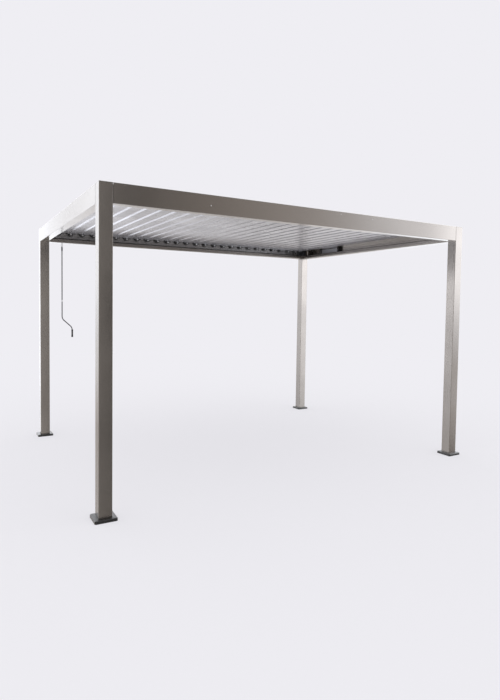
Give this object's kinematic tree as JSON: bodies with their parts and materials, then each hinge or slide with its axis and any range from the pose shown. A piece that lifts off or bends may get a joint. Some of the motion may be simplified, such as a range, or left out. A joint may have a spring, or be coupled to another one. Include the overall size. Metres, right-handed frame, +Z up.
{
  "type": "louvred garden pergola",
  "caption": "Free-standing flat-roofed pergola on four square posts, with gutter beams round a roof of turning louvres and a hanging crank.",
  "frame": {"origin": "on the floor at the middle of the footprint", "axes": "+X along the long front beam to the right, +Y from the front to the back, +Z up"},
  "size_m": [4.071, 3.071, 2.55],
  "materials": {
    "taupe_coat": "satin powder coat, taupe grey",
    "slat_grey": "smooth satin coat, light grey",
    "black_plastic": "moulded black",
    "foot_grey": "moulded dark grey",
    "zinc_steel": "zinc plated",
    "rod_grey": "light grey coat"
  },
  "bodies": {
    "frame": {"post_front_left": "taupe_coat", "post_front_right": "taupe_coat", "post_back_left": "taupe_coat", "post_back_right": "taupe_coat", "post_cap_front_left": "taupe_coat", "post_cap_front_right": "taupe_coat", "post_cap_back_left": "taupe_coat", "post_cap_back_right": "taupe_coat", "foot_cover_front_left": "foot_grey", "foot_cover_front_right": "foot_grey", "foot_cover_back_left": "foot_grey", "foot_cover_back_right": "foot_grey", "beam_front": "taupe_coat", "beam_back": "taupe_coat", "beam_left": "taupe_coat", "beam_right": "taupe_coat", "corner_connector_front_left": "black_plastic", "corner_connector_front_right": "black_plastic", "corner_connector_back_left": "black_plastic", "corner_connector_back_right": "black_plastic", "pivot_rail_front": "taupe_coat", "pivot_rail_back": "taupe_coat", "side_strip_left": "taupe_coat", "side_strip_right": "taupe_coat", "side_bracket_left": "black_plastic", "side_bracket_right": "black_plastic", "gearbox": "black_plastic"},
    "louvre_01": {"louvre_01": "slat_grey"},
    "louvre_02": {"louvre_02": "slat_grey"},
    "louvre_03": {"louvre_03": "slat_grey"},
    "louvre_04": {"louvre_04": "slat_grey"},
    "louvre_05": {"louvre_05": "slat_grey"},
    "louvre_06": {"louvre_06": "slat_grey"},
    "louvre_07": {"louvre_07": "slat_grey"},
    "louvre_08": {"louvre_08": "slat_grey"},
    "louvre_09": {"louvre_09": "slat_grey"},
    "louvre_10": {"louvre_10": "slat_grey"},
    "louvre_11": {"louvre_11": "slat_grey"},
    "louvre_12": {"louvre_12": "slat_grey"},
    "louvre_13": {"louvre_13": "slat_grey"},
    "louvre_14": {"louvre_14": "slat_grey"},
    "louvre_15": {"louvre_15": "slat_grey"},
    "louvre_16": {"louvre_16": "slat_grey"},
    "louvre_17": {"louvre_17": "slat_grey"},
    "louvre_18": {"louvre_18": "slat_grey"},
    "louvre_19": {"louvre_19": "slat_grey"},
    "louvre_20": {"louvre_20": "slat_grey"},
    "louvre_21": {"louvre_21": "slat_grey"},
    "louvre_22": {"louvre_22": "slat_grey"},
    "louvre_23": {"louvre_23": "slat_grey"},
    "louvre_24": {"louvre_24": "slat_grey"},
    "louvre_25": {"louvre_25": "slat_grey"},
    "louvre_26": {"louvre_26": "slat_grey"},
    "link_bar": {"link_bar": "zinc_steel"},
    "gear_eye": {"gear_eye": "zinc_steel"},
    "crank": {"crank_hook": "black_plastic", "crank_rod": "rod_grey"},
    "crank_grip": {"crank_grip": "black_plastic"}
  },
  "joints": [
    {"name": "louvre_01_turn", "type": "hinge", "parent": "frame", "child": "louvre_01", "pos_m": [-1.78125, 0, 2.503], "axis": [0, 1, 0], "range_deg": [0, 90]},
    {"name": "louvre_02_turn", "type": "hinge", "parent": "frame", "child": "louvre_02", "pos_m": [-1.63875, 0, 2.503], "axis": [0, 1, 0], "range_deg": [0, 90]},
    {"name": "louvre_03_turn", "type": "hinge", "parent": "frame", "child": "louvre_03", "pos_m": [-1.49625, 0, 2.503], "axis": [0, 1, 0], "range_deg": [0, 90]},
    {"name": "louvre_04_turn", "type": "hinge", "parent": "frame", "child": "louvre_04", "pos_m": [-1.35375, 0, 2.503], "axis": [0, 1, 0], "range_deg": [0, 90]},
    {"name": "louvre_05_turn", "type": "hinge", "parent": "frame", "child": "louvre_05", "pos_m": [-1.21125, 0, 2.503], "axis": [0, 1, 0], "range_deg": [0, 90]},
    {"name": "louvre_06_turn", "type": "hinge", "parent": "frame", "child": "louvre_06", "pos_m": [-1.06875, 0, 2.503], "axis": [0, 1, 0], "range_deg": [0, 90]},
    {"name": "louvre_07_turn", "type": "hinge", "parent": "frame", "child": "louvre_07", "pos_m": [-0.92625, 0, 2.503], "axis": [0, 1, 0], "range_deg": [0, 90]},
    {"name": "louvre_08_turn", "type": "hinge", "parent": "frame", "child": "louvre_08", "pos_m": [-0.78375, 0, 2.503], "axis": [0, 1, 0], "range_deg": [0, 90]},
    {"name": "louvre_09_turn", "type": "hinge", "parent": "frame", "child": "louvre_09", "pos_m": [-0.64125, 0, 2.503], "axis": [0, 1, 0], "range_deg": [0, 90]},
    {"name": "louvre_10_turn", "type": "hinge", "parent": "frame", "child": "louvre_10", "pos_m": [-0.49875, 0, 2.503], "axis": [0, 1, 0], "range_deg": [0, 90]},
    {"name": "louvre_11_turn", "type": "hinge", "parent": "frame", "child": "louvre_11", "pos_m": [-0.35625, 0, 2.503], "axis": [0, 1, 0], "range_deg": [0, 90]},
    {"name": "louvre_12_turn", "type": "hinge", "parent": "frame", "child": "louvre_12", "pos_m": [-0.21375, 0, 2.503], "axis": [0, 1, 0], "range_deg": [0, 90]},
    {"name": "louvre_13_turn", "type": "hinge", "parent": "frame", "child": "louvre_13", "pos_m": [-0.07125, 0, 2.503], "axis": [0, 1, 0], "range_deg": [0, 90]},
    {"name": "louvre_14_turn", "type": "hinge", "parent": "frame", "child": "louvre_14", "pos_m": [0.07125, 0, 2.503], "axis": [0, 1, 0], "range_deg": [0, 90]},
    {"name": "louvre_15_turn", "type": "hinge", "parent": "frame", "child": "louvre_15", "pos_m": [0.21375, 0, 2.503], "axis": [0, 1, 0], "range_deg": [0, 90]},
    {"name": "louvre_16_turn", "type": "hinge", "parent": "frame", "child": "louvre_16", "pos_m": [0.35625, 0, 2.503], "axis": [0, 1, 0], "range_deg": [0, 90]},
    {"name": "louvre_17_turn", "type": "hinge", "parent": "frame", "child": "louvre_17", "pos_m": [0.49875, 0, 2.503], "axis": [0, 1, 0], "range_deg": [0, 90]},
    {"name": "louvre_18_turn", "type": "hinge", "parent": "frame", "child": "louvre_18", "pos_m": [0.64125, 0, 2.503], "axis": [0, 1, 0], "range_deg": [0, 90]},
    {"name": "louvre_19_turn", "type": "hinge", "parent": "frame", "child": "louvre_19", "pos_m": [0.78375, 0, 2.503], "axis": [0, 1, 0], "range_deg": [0, 90]},
    {"name": "louvre_20_turn", "type": "hinge", "parent": "frame", "child": "louvre_20", "pos_m": [0.92625, 0, 2.503], "axis": [0, 1, 0], "range_deg": [0, 90]},
    {"name": "louvre_21_turn", "type": "hinge", "parent": "frame", "child": "louvre_21", "pos_m": [1.06875, 0, 2.503], "axis": [0, 1, 0], "range_deg": [0, 90]},
    {"name": "louvre_22_turn", "type": "hinge", "parent": "frame", "child": "louvre_22", "pos_m": [1.21125, 0, 2.503], "axis": [0, 1, 0], "range_deg": [0, 90]},
    {"name": "louvre_23_turn", "type": "hinge", "parent": "frame", "child": "louvre_23", "pos_m": [1.35375, 0, 2.503], "axis": [0, 1, 0], "range_deg": [0, 90]},
    {"name": "louvre_24_turn", "type": "hinge", "parent": "frame", "child": "louvre_24", "pos_m": [1.49625, 0, 2.503], "axis": [0, 1, 0], "range_deg": [0, 90]},
    {"name": "louvre_25_turn", "type": "hinge", "parent": "frame", "child": "louvre_25", "pos_m": [1.63875, 0, 2.503], "axis": [0, 1, 0], "range_deg": [0, 90]},
    {"name": "louvre_26_turn", "type": "hinge", "parent": "frame", "child": "louvre_26", "pos_m": [1.78125, 0, 2.503], "axis": [0, 1, 0], "range_deg": [0, 90]},
    {"name": "link_bar_turn", "type": "hinge", "parent": "louvre_13", "child": "link_bar", "pos_m": [-0.09825, 1.414, 2.53], "axis": [0, 1, 0], "range_deg": [-90, 0]},
    {"name": "crank_turn", "type": "hinge", "parent": "frame", "child": "gear_eye", "pos_m": [-1.73525, 1.4603, 2.3615], "axis": [0, 0, 1], "range_deg": [0, 3600]},
    {"name": "crank_tilt", "type": "hinge", "parent": "gear_eye", "child": "crank", "pos_m": [-1.73525, 1.4603, 2.3615], "axis": [-1, 0, 0], "range_deg": [-30, 60]},
    {"name": "grip_turn", "type": "hinge", "parent": "crank", "child": "crank_grip", "pos_m": [-1.61225, 1.4603, 1.264], "axis": [0, 0, 1], "continuous": true}
  ],
  "couplings": [
    {"joint": "louvre_02_turn", "follows": "louvre_01_turn", "ratio": 1},
    {"joint": "louvre_03_turn", "follows": "louvre_01_turn", "ratio": 1},
    {"joint": "louvre_04_turn", "follows": "louvre_01_turn", "ratio": 1},
    {"joint": "louvre_05_turn", "follows": "louvre_01_turn", "ratio": 1},
    {"joint": "louvre_06_turn", "follows": "louvre_01_turn", "ratio": 1},
    {"joint": "louvre_07_turn", "follows": "louvre_01_turn", "ratio": 1},
    {"joint": "louvre_08_turn", "follows": "louvre_01_turn", "ratio": 1},
    {"joint": "louvre_09_turn", "follows": "louvre_01_turn", "ratio": 1},
    {"joint": "louvre_10_turn", "follows": "louvre_01_turn", "ratio": 1},
    {"joint": "louvre_11_turn", "follows": "louvre_01_turn", "ratio": 1},
    {"joint": "louvre_12_turn", "follows": "louvre_01_turn", "ratio": 1},
    {"joint": "louvre_13_turn", "follows": "louvre_01_turn", "ratio": 1},
    {"joint": "louvre_14_turn", "follows": "louvre_01_turn", "ratio": 1},
    {"joint": "louvre_15_turn", "follows": "louvre_01_turn", "ratio": 1},
    {"joint": "louvre_16_turn", "follows": "louvre_01_turn", "ratio": 1},
    {"joint": "louvre_17_turn", "follows": "louvre_01_turn", "ratio": 1},
    {"joint": "louvre_18_turn", "follows": "louvre_01_turn", "ratio": 1},
    {"joint": "louvre_19_turn", "follows": "louvre_01_turn", "ratio": 1},
    {"joint": "louvre_20_turn", "follows": "louvre_01_turn", "ratio": 1},
    {"joint": "louvre_21_turn", "follows": "louvre_01_turn", "ratio": 1},
    {"joint": "louvre_22_turn", "follows": "louvre_01_turn", "ratio": 1},
    {"joint": "louvre_23_turn", "follows": "louvre_01_turn", "ratio": 1},
    {"joint": "louvre_24_turn", "follows": "louvre_01_turn", "ratio": 1},
    {"joint": "louvre_25_turn", "follows": "louvre_01_turn", "ratio": 1},
    {"joint": "louvre_26_turn", "follows": "louvre_01_turn", "ratio": 1},
    {"joint": "link_bar_turn", "follows": "louvre_01_turn", "ratio": -1},
    {"joint": "crank_turn", "follows": "louvre_01_turn", "ratio": 40}
  ]
}
